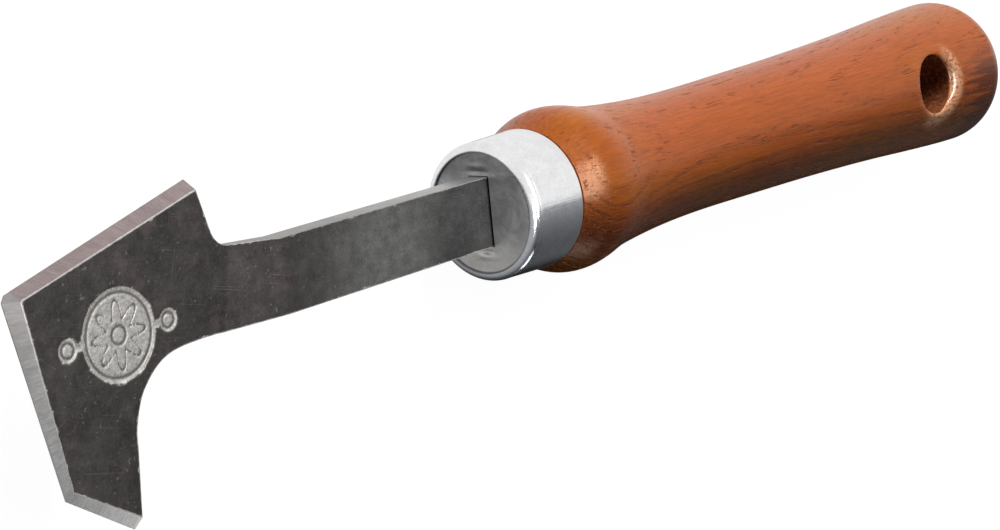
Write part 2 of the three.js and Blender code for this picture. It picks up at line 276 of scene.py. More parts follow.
def blade_rails():
    """Upper and lower outlines, station by station from the tang's end to the front edge.

    Each station pairs one point above with one below; the back face has the sharp outline and
    the front face has the inner lines of the ground bevels. half is half the thickness."""
    top = inset(SHORT_POINT, NOSE, TOP_BEVEL)
    front = inset(NOSE, HEEL, FRONT_BEVEL)
    low = inset(HEEL, HOOK_TIP, LOW_BEVEL)
    point_f = meet(*top, NOTCH, SHORT_POINT)
    nose_f = meet(*top, *front)
    heel_f = meet(*front, *low)
    tip_f = meet(*low, HOOK_TIP, HOOK_INSIDE[0])
    corner = notch_arc(NOTCH_N)
    hook = spline(HOOK_INSIDE[::-1], HOOK_N)
    bend = np.concatenate([hook[HOOK_TURN:], [HOOK_TIP]])
    bend_f = np.concatenate([hook[HOOK_TURN:], [tip_f]])
    middle_b = np.asarray(SHORT_POINT) + MIDDLE_SHARE * np.subtract(NOSE, SHORT_POINT)
    middle_f = point_f + MIDDLE_SHARE * (nose_f - point_f)
    cut_up, cut_low = along(NOSE, SHORT_POINT, NOSE_CUT), along(NOSE, HEEL, NOSE_CUT)
    cut_up_f = along(nose_f, point_f, FRONT_CORNER_CUT)
    cut_low_f = along(nose_f, heel_f, FRONT_CORNER_CUT)
    before = along(HEEL, HOOK_TIP, HOOK_CORNER_CUT)
    before_f = along(heel_f, tip_f, HOOK_CORNER_CUT)
    tang, root, taper_low = 0.5 * TANG_POINT[0], 0.5 * TANG_ROOT[0], (TAPER_TO, TAPER_BOTTOM)
    sections = []

    def section(count, up, down, thick=(HEAD_T, HEAD_T), up_f=None, down_f=None, fresh=False):
        """count stations along two edges, each two ends or a whole path.

        Only a fresh stretch keeps its first station; it is the last one's end otherwise."""
        edges = [up, down, up if up_f is None else up_f, down if down_f is None else down_f]
        edges = [line(*edge, count) if len(edge) == 2 else edge for edge in edges]
        edges.append(np.linspace(*thick, count) / 2)
        sections.append([edge[0 if fresh else 1:] for edge in edges])

    section(TANG_N, [(TANG_END_X, tang), (SHOULDER_X, root)],
            [(TANG_END_X, -tang), (SHOULDER_X, -root)], (TANG_POINT[1], TANG_ROOT[1]), fresh=True)
    section(SHANK_N, [(SHOULDER_X, SHANK_TOP), (TAPER_FROM, SHANK_TOP)],
            [(SHOULDER_X, SHANK_BOTTOM), (TAPER_FROM, SHANK_BOTTOM)], (SHANK_T, SHANK_T),
            fresh=True)
    section(TAPER_N, [(TAPER_FROM, SHANK_TOP), corner[0]],
            [(TAPER_FROM, SHANK_BOTTOM), taper_low], (SHANK_T, HEAD_T))
    section(NOTCH_N, corner, [taper_low, HOOK_INSIDE[-1]])
    section(POINT_N, [corner[-1], SHORT_POINT], spread(hook[:HOOK_TURN + 1], POINT_N),
            up_f=[corner[-1], point_f])
    section(HEAD_N, [SHORT_POINT, middle_b], spread(bend, HEAD_N),
            up_f=[point_f, middle_f], down_f=spread(bend_f, HEAD_N))
    section(NOSE_N, [middle_b, cut_up], [HOOK_TIP, before],
            up_f=[middle_f, cut_up_f], down_f=[tip_f, before_f])
    section(CUT_N, [cut_up, cut_low], [before, HEEL],
            up_f=[cut_up_f, cut_low_f], down_f=[before_f, heel_f])
    return [np.concatenate([s[k] for s in sections]) for k in range(5)]


def lift(flat, z):
    """Points of an outline at the height z."""
    return np.concatenate([flat, np.broadcast_to(z, flat.shape[:-1])[..., None]], axis=-1)


def step_down(value, edge, soft):
    """1 below edge, 0 above it, with a soft step between."""
    t = np.clip((edge + soft - value) / (2 * soft), 0, 1)
    return t * t * (3 - 2 * t)


def stamp_shape(x, y):
    """A plain rosette: the frosted ground and the drawn lines, each from 0 to 1.

    The petals are the line r = PETAL_R + PETAL_SWING cos(PETALS a) inside a ring, with a stem
    and a bead on either side."""
    x, y = x - STAMP[0], y - STAMP[1]
    r, a = np.hypot(x, y), np.arctan2(y, x)
    petal = PETAL_R + PETAL_SWING * np.cos(PETALS * a)
    lines = np.maximum.reduce([
        step_down(np.abs(r - petal), LINE_HALF, LINE_SOFT),
        step_down(np.abs(r - RING_R), LINE_HALF, LINE_SOFT),
        step_down(np.abs(r - EYE_R), FINE_LINE_HALF, LINE_SOFT)])
    ground = step_down(r, GROUND_R, GROUND_SOFT)
    for side in (-1, 1):
        bead = np.hypot(x - side * BEAD_X, y)
        ring = step_down(np.abs(bead - BEAD_RING_R), FINE_LINE_HALF, LINE_SOFT)
        lines = np.maximum(lines, ring)
        ground = np.maximum(ground, step_down(bead, BEAD_GROUND_R, GROUND_SOFT))
        stem = np.maximum(np.abs(y) - STEM_HALF_W, np.abs(x - side * STEM_X) - STEM_HALF_L)
        ground = np.maximum(ground, step_down(stem, 0.0, GROUND_SOFT))
    return ground, lines * ground


def make_blade(materials):
    """Closed plate. Faces are ruled between the rails; walls and bevels join their edges.

    The front face sinks by the rosette's ground and a little further along its lines."""
    up_b, down_b, up_f, down_f, half = blade_rails()
    across = np.linspace(0, 1, ACROSS_N)[None, :, None]
    front = up_f[:, None] * (1 - across) + down_f[:, None] * across
    back = up_b[:, None] * (1 - across) + down_b[:, None] * across
    frosted, lines = stamp_shape(front[..., 0], front[..., 1])
    sunk = STAMP_DEPTH * (GROUND_SHARE * frosted + (1 - GROUND_SHARE) * lines)
    front = lift(front, half[:, None] - sunk)
    back = lift(back, -half[:, None])
    plate = Patches()
    plate.add(front, FACE)
    plate.add(back, FACE)
    bevel_starts = int(np.argmax(np.abs(up_b - up_f).sum(1) > 1e-6)) - 1
    low_starts = int(np.argmax(np.abs(down_b - down_f).sum(1) > 1e-6)) - 1
    for side_b, side_f, starts in ((up_b, up_f, bevel_starts), (down_b, down_f, low_starts)):
        wall, chart = wall_between(lift(side_b, -half), lift(side_f, half))
        plate.add(wall[:starts + 1], SIDE, chart[:starts + 1])
        plate.add(wall[starts:], GROUND, chart[starts:])
    for end, slot in ((-1, GROUND), (0, SIDE)):
        wall, chart = wall_between(back[end], front[end])
        plate.add(wall, slot, chart)
    blade = plate.piece("forged_blade", materials, marks=[
        ("edge", edge_distance(up_f, down_f, half)), ("upper", on_upper_bevel),
        ("frosted", stamp_mark(0)), ("drawn", stamp_mark(1))])
    soften(blade, EASED_EDGE, EASED_ANGLE)
    return blade


def wall_between(low, high):
    """Grid from a back edge over its narrow land to a front edge, charted along and across."""
    land = low + (0, 0, EDGE_LAND)
    share = np.linspace(0, 1, WALL_N)[:, None, None]
    wall = np.concatenate([low[None], land * (1 - share) + high * share]).transpose(1, 0, 2)
    run = np.linalg.norm(np.diff(low, axis=0), axis=1)
    run = np.concatenate([[0], np.cumsum(run)])
    rise = np.linalg.norm(wall - wall[:, :1], axis=2)
    return wall, np.stack([np.broadcast_to(run[:, None], rise.shape), rise], axis=-1)


def edge_distance(up, down, half):
    """Function of points: distance in millimetres to the border of the front face."""
    border = np.concatenate([lift(up, half), lift(down, half)[::-1]])
    a, b = border, np.roll(border, -1, axis=0)
    length = np.maximum(((b - a) ** 2).sum(1), 1e-9)

    def distance(points):
        nearest = np.full(len(points), FAR_FROM_EDGE)
        for start, step, square in zip(a, b - a, length):
            t = np.clip((points - start) @ step / square, 0, 1)[:, None]
            nearest = np.minimum(nearest, np.linalg.norm(points - start - t * step, axis=1))
        return nearest
    return distance


def on_upper_bevel(points):
    """1 near the line from the short point to the nose, 0 elsewhere."""
    along_line = np.subtract(NOSE, SHORT_POINT) / np.linalg.norm(np.subtract(NOSE, SHORT_POINT))
    offset = points[:, :2] - SHORT_POINT
    aside = np.abs(offset[:, 0] * along_line[1] - offset[:, 1] * along_line[0])
    short_of_nose = step_down(offset @ along_line, UPPER_MARK_L, 0.4)
    return step_down(aside, UPPER_MARK_W, 0.1) * short_of_nose


def stamp_mark(which):
    """Function of points: one of the rosette's two shapes, on the front only."""
    return lambda p: np.where(p[:, 2] > 0, stamp_shape(p[:, 0], p[:, 1])[which], 0.0)


def soften(piece, width, angle):
    """Small rounding of the sharp edges."""
    bevel = piece.modifiers.new("eased_edges", "BEVEL")
    bevel.width = width * MM
    bevel.segments = 2
    bevel.limit_method = "ANGLE"
    bevel.angle_limit = math.radians(angle)
    bevel.harden_normals = True


# ---- ferrule ---------------------------------------------------------
def arc(cx, cr, radius, start, end, count):
    """Part of a circle in the (x, r) half-plane, angles in degrees."""
    a = np.radians(np.linspace(start, end, count))
    return np.stack([cx + radius * np.cos(a), cr + radius * np.sin(a)], axis=1)


def slot_reach(angles):
    """Distance from the axis to the slot's rectangular edge in each direction."""
    c, s = np.cos(angles), np.sin(angles)
    y_edge = np.where(c > 0, SHANK_TOP + TOP_GAP, -(SHANK_BOTTOM - TOP_GAP))
    z_edge = SHANK_T / 2 + SLOT_GAP
    return np.minimum(y_edge / np.maximum(np.abs(c), 1e-9), z_edge / np.maximum(np.abs(s), 1e-9))


def make_ferrule(materials):
    """Drawn cap: one closed profile carried round the axis.

    The profile runs from the slot's edge over the face, rim and side, round the rear lip and
    back along the inside. Next to the slot its radius is the rectangle's reach."""
    corners = [math.atan2(z, y) for y in (SHANK_TOP + TOP_GAP, SHANK_BOTTOM - TOP_GAP)
               for z in (SHANK_T / 2 + SLOT_GAP, -SHANK_T / 2 - SLOT_GAP)]
    turn = np.unique(np.concatenate([
        np.linspace(-math.pi, math.pi, CAP_TURN_N, endpoint=False), corners]))
    reach = slot_reach(turn)
    rings = [(0.0, reach * (1 - s) + FACE_FLAT_R * s) for s in np.linspace(0, 1, CAP_FACE_N)]
    bead_x, bead_r = RIM_R - FERRULE_SINK, FERRULE_FRONT_R - RIM_R
    bead = arc(bead_x, bead_r, RIM_R, 184, 84, CAP_BEAD_N)
    step = [(bead_x + 0.25, FERRULE_FRONT_R - 0.10), (bead_x + 0.5, FERRULE_FRONT_R - 0.04)]
    side = line((bead_x + 0.9, FERRULE_FRONT_R), (FERRULE_L - 0.48, FERRULE_R), CAP_SIDE_N)
    lip = arc(FERRULE_L - LIP_R, FERRULE_R - LIP_R, LIP_R, 85, -90, 10)
    inner_r = FERRULE_R - FERRULE_WALL
    corner_x, corner_r = FERRULE_WALL + INNER_CORNER_R, inner_r - INNER_CORNER_R
    inside = line((FERRULE_L - 0.6, inner_r), (corner_x, inner_r), 12)
    corner = arc(corner_x, corner_r, INNER_CORNER_R, 80, 180, 5)
    rings += list(np.concatenate([bead, step, side, lip, inside, corner]))
    rings += [(FERRULE_WALL, reach * (1 - s) + corner_r * s)
              for s in np.linspace(0.9, 0, 6)]
    x = np.array([np.full_like(turn, x) for x, _ in rings])
    r = np.array([np.broadcast_to(r, turn.shape) for _, r in rings])
    y, z = r * np.cos(turn), r * np.sin(turn)
    on_face = (np.arange(len(rings)) < CAP_FACE_N)[:, None]
    x = x + np.where(on_face, stake_marks(y, z), 0)
    cap = Patches()
    cap.add(np.stack([x, y, z], axis=-1), close_rows=True, close_columns=True)
    return cap.piece("drawn_ferrule", materials)


def stake_marks(y, z):
    """Metal pushed against the shank: the sum of STAKES, each h exp(-(dy/a)^2 - (dz/b)^2)."""
    return sum(height * np.exp(-((y - y0) / wide) ** 2 - ((z - z0) / deep) ** 2)
               for height, y0, wide, z0, deep in STAKES)


# ---- handle ----------------------------------------------------------
def handle_outline():
    """The turned profile as (x, r) pairs, from the shoulder behind the ferrule to the rear."""
    swell = spline(HANDLE_PROFILE, OUTLINE_N)
    end = arc(HANDLE_END_X - HANDLE_END_R, HANDLE_PROFILE[-1][1] - HANDLE_END_R,
              HANDLE_END_R, 90, 0, END_N)
    return np.concatenate([swell, end[1:]])


def make_handle(materials):
    """Turned body with a through hole.

    The body is the profile carried round the axis, drawn with the hole straight up and then
    turned. A window is left out of the grid above and below; a skirt joins the window to the
    lip, whose section is a quarter ellipse added to the body's own surface and which ends in a
    flat circle, so it is widest fore and aft. A straight bore joins the two circles."""
    outline = handle_outline()
    ring, span = TURN_N, WINDOW_HALF_N
    turn = np.linspace(0, 2 * math.pi, ring, endpoint=False)
    body = np.stack([
        np.repeat(outline[:, :1], ring, axis=1),
        outline[:, 1:] * np.cos(turn), outline[:, 1:] * np.sin(turn)], axis=-1)
    rows = np.where(np.abs(outline[:, 0] - HOLE_X) < WINDOW_HALF_L)[0]
    i0, i1 = rows[0], rows[-1]
    top, bottom = ring // 4, 3 * ring // 4
    handle = Patches()
    handle.add(body[:i0 + 1], close_columns=True)
    handle.add(body[i1:], close_columns=True)
    left = np.arange(top + span, bottom - span + 1)
    right = np.arange(bottom + span, ring + top - span + 1) % ring
    handle.add(body[i0:i1 + 1][:, left])
    handle.add(body[i0:i1 + 1][:, right])
    window = np.concatenate([
        [(i0, j) for j in range(top - span, top + span)],
        [(i, top + span) for i in range(i0, i1)],
        [(i1, j) for j in range(top + span, top - span, -1)],
        [(i, top - span) for i in range(i1, i0, -1)]])
    border = body[window[:, 0], window[:, 1]]
    away = np.arctan2(border[:, 1], border[:, 0] - HOLE_X)
    reach = np.hypot(border[:, 1], border[:, 0] - HOLE_X)

    def surface(rho):
        x = HOLE_X + rho * np.cos(away)
        y = rho * np.sin(away)
        r = np.interp(x, outline[:, 0], outline[:, 1])
        return x, y, np.sqrt(np.maximum(r * r - y * y, 0))

    depth = np.maximum(surface(HOLE_R)[2] - MOUTH_Z, LIP_MIN_DEPTH)
    width = LIP_SLOPE * depth
    rings = []
    for a in np.radians(np.linspace(0, 90, LIP_N)):
        x, y, z = surface(HOLE_R + width * (1 - math.cos(a)))
        rings.append(np.stack([x, y, z - depth * (1 - math.sin(a))], axis=-1))
    for s in np.linspace(0, 1, SKIRT_N)[1:]:
        x, y, z = surface((HOLE_R + width) * (1 - s) + reach * s)
        rings.append(np.stack([x, y, z], axis=-1))
    rings[-1] = border
    upper = np.array(rings)
    lower = upper * (1, 1, -1)
    bore = rings[0] + np.linspace(0, 1, BORE_N)[:, None, None] * (lower[0] - rings[0])
    handle.add(upper, close_columns=True)
    handle.add(lower, close_columns=True)
    handle.add(bore, close_columns=True)
    neck = np.array([(FERRULE_L + 0.3, NECK_R), (NECK_X + 1, NECK_R), (NECK_X, NECK_R - 1)])
    for path in (np.concatenate([outline[:1], neck, [(NECK_X, 0)]]),
                 np.concatenate([outline[-1:], [(HANDLE_END_X, 0)]])):
        disc = spread_each(path, DISC_N)
        handle.add(np.stack([
            np.repeat(disc[:, :1], ring, axis=1),
            disc[:, 1:] * np.cos(turn), disc[:, 1:] * np.sin(turn)], axis=-1),
            close_columns=True)
    tilt = math.radians(-HOLE_TURN)
    c, s = math.cos(tilt), math.sin(tilt)
    for grid in handle.points:
        y, z = grid[:, 1].copy(), grid[:, 2].copy()
        grid[:, 1], grid[:, 2] = c * y - s * z, s * y + c * z
    return handle.piece("turned_handle", materials, marks=[
        ("bore", hole_mark(tilt, *BORE_REACH)),
        ("lip", hole_mark(tilt, *LIP_REACH, beyond=HOLE_R + 0.1))])


def hole_mark(tilt, reach, soft, beyond=0.0):
    """Function of points: 1 up to reach past the bore's wall, 0 nearer its axis than beyond."""
    def mark(points):
        across = points[:, 1] * math.cos(tilt) + points[:, 2] * math.sin(tilt)
        rho = np.hypot(points[:, 0] - HOLE_X, across)
        return np.where(rho < beyond, 0.0, step_down(rho, HOLE_R + reach, soft))
    return mark


def spread_each(path, count):
    """count points along every straight piece of path."""
    return np.concatenate([line(a, b, count)[:-1] for a, b in zip(path[:-1], path[1:])]
                          + [path[-1:]])


# ---- materials -------------------------------------------------------
class Net:
    """Short names for wiring the nodes of one tree."""

    def __init__(self, tree):
        self.tree = tree

    def put(self, socket, value):
        if isinstance(value, bpy.types.NodeSocket):
            self.tree.links.new(value, socket)
        else:
            socket.default_value = value

    def fill(self, node, **values):
        """Sets or links a node's inputs; keyword names are its sockets with _ for a space."""
        for key, value in values.items():
            self.put(node.inputs[key.replace("_", " ")], value)

    def node(self, kind, inputs=(), **settings):
        node = self.tree.nodes.new("ShaderNode" + kind)
        for name, value in settings.items():
            setattr(node, name, value)
        for key, value in dict(inputs).items():
            self.put(node.inputs[key], value)
        return node

    def math(self, operation, *values, clamp=False):
        node = self.node("Math", operation=operation, use_clamp=clamp)
        for socket, value in zip(node.inputs, values):
            self.put(socket, value)
        return node.outputs[0]

    def times(self, a, b, **clamp):
        return self.math("MULTIPLY", a, b, **clamp)

    def plus(self, a, b, **clamp):
        return self.math("ADD", a, b, **clamp)

    def minus(self, a, b):
        return self.math("SUBTRACT", a, b)

    def fma(self, a, b, c):
        """a times b plus c."""
        return self.math("MULTIPLY_ADD", a, b, c)

    def hypot(self, a, b):
        return self.math("SQRT", self.plus(self.times(a, a), self.times(b, b)))

    def split(self, vector):
        return self.node("SeparateXYZ", {"Vector": vector}).outputs

    def scaled(self, vector, scale):
        return self.node("VectorMath", {0: vector, 1: scale}, operation="MULTIPLY").outputs[0]

    def noise(self, vector, scale, detail=2.0, roughness=0.5, distortion=0.0):
        return self.node("TexNoise", {
            "Vector": vector, "Scale": scale, "Detail": detail, "Roughness": roughness,
            "Distortion": distortion}).outputs["Fac"]

    def step(self, value, low, high):
        """0 below low and 1 above high, softly."""
        return self.node("MapRange", {
            "Value": value, "From Min": low, "From Max": high},
            interpolation_type="SMOOTHSTEP").outputs["Result"]

    def blend(self, factor, a, b):
        """Colour a where factor is 0 and colour b where it is 1."""
        node = self.node("Mix", data_type="RGBA")
        for number, value in ((0, factor), (6, a), (7, b)):
            self.put(node.inputs[number], (*value, 1) if isinstance(value, tuple) else value)
        return node.outputs[2]

    def tinted(self, color, value):
        """The colour made lighter or darker by a value round 1."""
        return self.node("VectorMath", {0: color, "Scale": value}, operation="SCALE").outputs[0]


def effect(name, inputs, outputs):
    """A new shader node group: its wiring, its inputs by name and its outputs by name."""
    tree = bpy.data.node_groups.new(name, "ShaderNodeTree")
    for title, kind, value in inputs:
        socket = tree.interface.new_socket(title, in_out="INPUT", socket_type="NodeSocket" + kind)
        if value is not None:
            socket.default_value = value
    for title, kind in outputs:
        tree.interface.new_socket(title, in_out="OUTPUT", socket_type="NodeSocket" + kind)
    return Net(tree), tree.nodes.new("NodeGroupInput").outputs, tree.nodes.new(
        "NodeGroupOutput").inputs


def use(net, group, **values):
    """Adds a node group to a tree."""
    node = net.tree.nodes.new("ShaderNodeGroup")
    node.node_tree = group
    net.fill(node, **values)
    return node.outputs


def mottle_group():
    """Uneven tone: broad clouds and fine grit, as a factor round 1."""
    net, given, result = effect("mottle", [
        ("Place", "Vector", None), ("Clouds", "Float", 0.3), ("Grit", "Float", 0.2)],
        [("Factor", "Float")])
    place = given["Place"]
    clouds = net.fma(net.noise(place, 0.42, 3, 0.6), 0.5,
                     net.times(net.noise(place, 0.11, 4, 0.6), 0.5))
    grit = net.noise(place, 2.3, 3, 0.65)
    clouds = net.times(net.minus(clouds, 0.5), given["Clouds"])
    grit = net.times(net.minus(grit, 0.5), given["Grit"])
    total = net.fma(net.plus(clouds, grit), 4.0, 1.0)
    net.put(result["Factor"], net.math("MAXIMUM", total, 0.05))
    return net.tree


def streak_group():
    """Fine lines along the direction Turn in the flat of Place, broken up along their length."""
    net, given, result = effect("streaks", [
        ("Place", "Vector", None), ("Turn", "Float", 0.0), ("Spacing", "Float", 4.0),
        ("Length", "Float", 0.06), ("Share", "Float", 0.1)], [("Mask", "Float")])
    turned = net.node("VectorRotate", {"Vector": given["Place"], "Angle": given["Turn"]},
                      rotation_type="Z_AXIS").outputs[0]
    stretch = net.node("CombineXYZ", {"X": given["Length"], "Y": given["Spacing"], "Z": 0.3})
    lines = net.noise(net.scaled(turned, stretch.outputs[0]), 1.0, 3, 0.6)
    gate = net.noise(turned, 0.17, 2)
    level = net.minus(0.72, given["Share"])
    value = net.plus(lines, net.fma(gate, 0.3, -0.15))
    net.put(result["Mask"], net.step(value, level, net.plus(level, 0.10)))
    return net.tree


def wear_group():
    """Bright worn metal near an edge: full at the edge, ragged and gone past Width."""
    net, given, result = effect("edge_wear", [
        ("Edge", "Float", 9.0), ("Place", "Vector", None), ("Width", "Float", 0.4)],
        [("Mask", "Float")])
    place = given["Place"]
    ragged = net.noise(place, 0.9, 4, 0.7)
    nicks = net.step(net.noise(place, 0.55, 3, 0.6), 0.58, 0.72)
    reach = net.times(given["Width"], net.fma(ragged, 1.6, -0.2))
    reach = net.times(reach, net.fma(nicks, 1.8, 1.0))
    edge = net.math("DIVIDE", given["Edge"], net.math("MAXIMUM", reach, 0.02))
    net.put(result["Mask"], net.minus(1.0, net.step(edge, 0.6, 1.3)))
    return net.tree


def speck_group():
    """Small scattered spots, about Size of them to a millimetre; Share raises how many."""
    net, given, result = effect("specks", [
        ("Place", "Vector", None), ("Size", "Float", 1.4), ("Share", "Float", 0.05)],
        [("Mask", "Float")])
    spots = net.noise(given["Place"], given["Size"], 2, 0.4)
    low = net.minus(0.76, given["Share"])
    mask = net.node("MapRange", {"Value": spots, "From Min": low, "From Max": net.plus(low, 0.06)})
    net.put(result["Mask"], mask.outputs["Result"])
    return net.tree


def growth_group():
    """Growth rings of a board cut off the heart: the porous bands and a slow figure.

    The rings are circles about a line along X below the handle, shaken by a slow noise."""
    net, given, result = effect("growth", [
        ("Place", "Vector", None), ("Spacing", "Float", RING_SPACING)],
        [("Band", "Float"), ("Figure", "Float")])
    place = given["Place"]
    slow = net.noise(net.scaled(place, (0.007, 0.035, 0.035)), 1.0, 3, 0.5)
    shake = net.noise(net.scaled(place, (0.05, 0.30, 0.30)), 1.0, 2)
    split = net.split(place)
    far = net.hypot(net.plus(split["Y"], HEART_ASIDE), net.plus(split["Z"], HEART_BELOW))
    far = net.plus(far, net.times(slow, 7.0))
    far = net.plus(far, net.times(shake, 0.7))
    phase = net.math("FRACT", net.math("DIVIDE", far, given["Spacing"]))
    saw = net.math("ABSOLUTE", net.minus(phase, 0.5))
    net.put(result["Band"], net.step(saw, 0.26, 0.46))
    net.put(result["Figure"], slow)
    return net.tree


def pore_group():
    """Dark open pores: short dashes along X, thick in the porous bands."""
    net, given, result = effect("pores", [
        ("Place", "Vector", None), ("Band", "Float", 0.5)],
        [("Pores", "Float"), ("Fibre", "Float")])
    place = given["Place"]
    long_dash = net.noise(net.scaled(place, (0.13, 3.0, 3.0)), 1.0, 2, 0.5)
    short_dash = net.noise(net.scaled(place, (0.50, 5.5, 5.5)), 1.0, 1, 0.5)
    dash = net.fma(short_dash, 0.45, net.times(long_dash, 0.55))
    dash = net.fma(given["Band"], 0.085, dash)
    net.put(result["Pores"], net.step(dash, 0.615, 0.70))
    net.put(result["Fibre"], net.noise(net.scaled(place, (0.07, 1.6, 1.6)), 1.0, 4, 0.7))
    return net.tree


MOTTLE, STREAKS, WEAR = mottle_group(), streak_group(), wear_group()
SPECKS, GROWTH, PORES = speck_group(), growth_group(), pore_group()


def new_material(name):
    material = bpy.data.materials.new(name)
    material.use_nodes = True
    shader = material.node_tree.nodes["Principled BSDF"]
    return material, Net(material.node_tree), shader


def own_place(net):
    """The object's own coordinates in drawing millimetres."""
    where = net.node("TexCoord").outputs["Object"]
    back = net.node("VectorMath", {0: where, 1: tuple(ORIGIN)}, operation="SUBTRACT").outputs[0]
    return net.scaled(back, (1 / MM,) * 3)


def attribute(net, name):
    return net.node("Attribute", attribute_name=name).outputs["Fac"]


def bump(net, height, distance):
    """A normal from a height, whose 1 is distance in millimetres."""
    return net.node("Bump", {"Height": height, "Distance": distance * MM}).outputs["Normal"]


def rolled_steel():
    """Dark mill-scaled face: brownish on the head, greyer on the shank, edges rubbed bright."""
    material, net, shader = new_material("rolled_steel")
    place = own_place(net)
    split = net.split(place)
    ripple = net.noise(place, 0.07, 3)
    along_x = net.fma(ripple, 26.0, split["X"])
    on_shank = net.step(along_x, -46.0, -14.0)
    tone = use(net, MOTTLE, Place=place, Clouds=0.50, Grit=0.28)["Factor"]
    color = net.blend(on_shank, HEAD_SCALE, SHANK_SCALE)
    # Painted shade: the face darkens by up to 62 % toward the ferrule, from about 24 mm to 4 mm in
    # front of it.
    cap_shade = net.step(net.fma(ripple, 8.0, split["X"]), -24.0, -4.0)
    color = net.tinted(color, net.fma(cap_shade, -0.62, 1.0))
    rust = net.step(net.noise(place, 0.16, 4, 0.65), 0.52, 0.72)
    rust = net.times(rust, net.minus(0.55, net.times(on_shank, 0.4)))
    color = net.blend(rust, net.tinted(color, tone), BROWN_SCALE)
    pale = use(net, SPECKS, Place=place, Size=1.3, Share=0.07)["Mask"]
    color = net.blend(net.times(pale, 0.5), color, PALE_SPECK)
    deep = use(net, SPECKS, Place=net.scaled(place, (1.1, 0.8, 1)), Size=0.9, Share=0.04)["Mask"]
    color = net.blend(net.times(deep, 0.4), color, DEEP_SPECK)
    fine = use(net, STREAKS, Place=place, Turn=0.25, Share=0.07)["Mask"]
    cross = use(net, STREAKS, Place=place, Turn=1.9, Length=0.10, Share=0.04)["Mask"]
    scratched = net.times(net.math("MAXIMUM", fine, cross), 0.32)
    color = net.blend(scratched, color, SCRATCH)
    frosted, drawn = attribute(net, "frosted"), attribute(net, "drawn")
    patchy = net.fma(net.noise(place, 2.2, 4, 0.75), 1.7, -0.2)
    frost = net.times(net.step(frosted, 0.2, 0.8), patchy, clamp=True)
    color = net.blend(frost, color, FROST)
    color = net.blend(net.times(net.step(drawn, 0.25, 0.8), 0.75), color, DRAWN_LINE)
    rim = net.times(net.times(frosted, net.minus(1.0, frosted)), 2.6)
    glints = net.step(net.noise(place, 0.55, 4, 0.75), 0.52, 0.64)
    color = net.blend(net.times(rim, glints), color, FROST_GLINT)
    worn = use(net, WEAR, Edge=attribute(net, "edge"), Place=place, Width=0.28)["Mask"]
    color = net.blend(net.times(worn, 0.68), color, RUBBED)
    rough = net.fma(net.noise(place, 0.5, 3), 0.2, 0.36)
    rough = net.plus(rough, net.times(frost, 0.12))
    grit = net.fma(net.noise(place, 1.6, 4, 0.7), 0.6,
                   net.times(net.noise(place, 0.25, 2), 1.2))
    grit = net.fma(net.noise(place, 5.0, 2), net.fma(frosted, 0.5, 0.12), grit)
    net.fill(shader, Base_Color=color, Metallic=0.85, Roughness=rough,
             Normal=bump(net, grit, 0.05))
    return material


def ground_steel():
    """Freshly ground bevel: fine lines straight across it, a little heat tint on one side."""
    material, net, shader = new_material("ground_steel")
    place = own_place(net)
    chart = net.node("UVMap", uv_map="chart").outputs["UV"]
    lines = net.noise(net.scaled(chart, (5.5, 0.35, 1)), 1.0, 3, 0.65)
    broad = net.noise(net.scaled(chart, (0.55, 0.12, 1)), 1.0, 2)
    tone = use(net, MOTTLE, Place=place, Clouds=0.12, Grit=0.10)["Factor"]
    tone = net.times(tone, net.fma(lines, 1.05, 0.48))
    tone = net.times(tone, net.fma(broad, 0.4, 0.8))
    upper = attribute(net, "upper")
    tint = net.plus(net.times(net.noise(place, 0.22, 2), 0.3), net.times(upper, 0.75),
                    clamp=True)
    split = net.split(place)
    # Painted light and shade: the bevel's colour runs from dark on the upper side (+Y) to near
    # white on the low side (-Y).
    color = net.blend(net.step(split["Y"], 6.0, -22.0), GROUND_SHADED_ABOVE, GROUND_LIT_BELOW)
    color = net.blend(tint, color, HEAT_TINT)
    color = net.tinted(color, tone)
    worn = use(net, WEAR, Edge=attribute(net, "edge"), Place=place, Width=0.25)["Mask"]
    color = net.blend(net.times(worn, 0.6), color, KEEN_EDGE)
    net.fill(shader, Base_Color=color, Metallic=0.6, Roughness=net.fma(lines, 0.2, 0.36),
             Normal=bump(net, lines, 0.03))
    return material


def cut_steel():
    """Sheared and filed edge of the bar: paler than the faces, lightly streaked lengthwise."""
    material, net, shader = new_material("cut_steel")
    place = own_place(net)
    chart = net.node("UVMap", uv_map="chart").outputs["UV"]
    tone = use(net, MOTTLE, Place=place, Clouds=0.22, Grit=0.12)["Factor"]
    drag = net.noise(net.scaled(chart, (0.12, 3.0, 1)), 1.0, 3, 0.6)
    color = net.blend(drag, CUT_DARK, CUT_PALE)
    near_head = net.step(net.split(place)["X"], -15.0, -45.0)
    color = net.tinted(color, net.fma(near_head, -0.28, 1.0))
    stain = net.step(net.noise(place, 0.3, 3, 0.6), 0.56, 0.75)
    color = net.blend(net.times(stain, 0.35), net.tinted(color, tone), CUT_STAIN)
    net.fill(shader, Base_Color=color, Metallic=0.85, Roughness=net.fma(drag, 0.2, 0.28),
             Normal=bump(net, drag, 0.05))
    return material


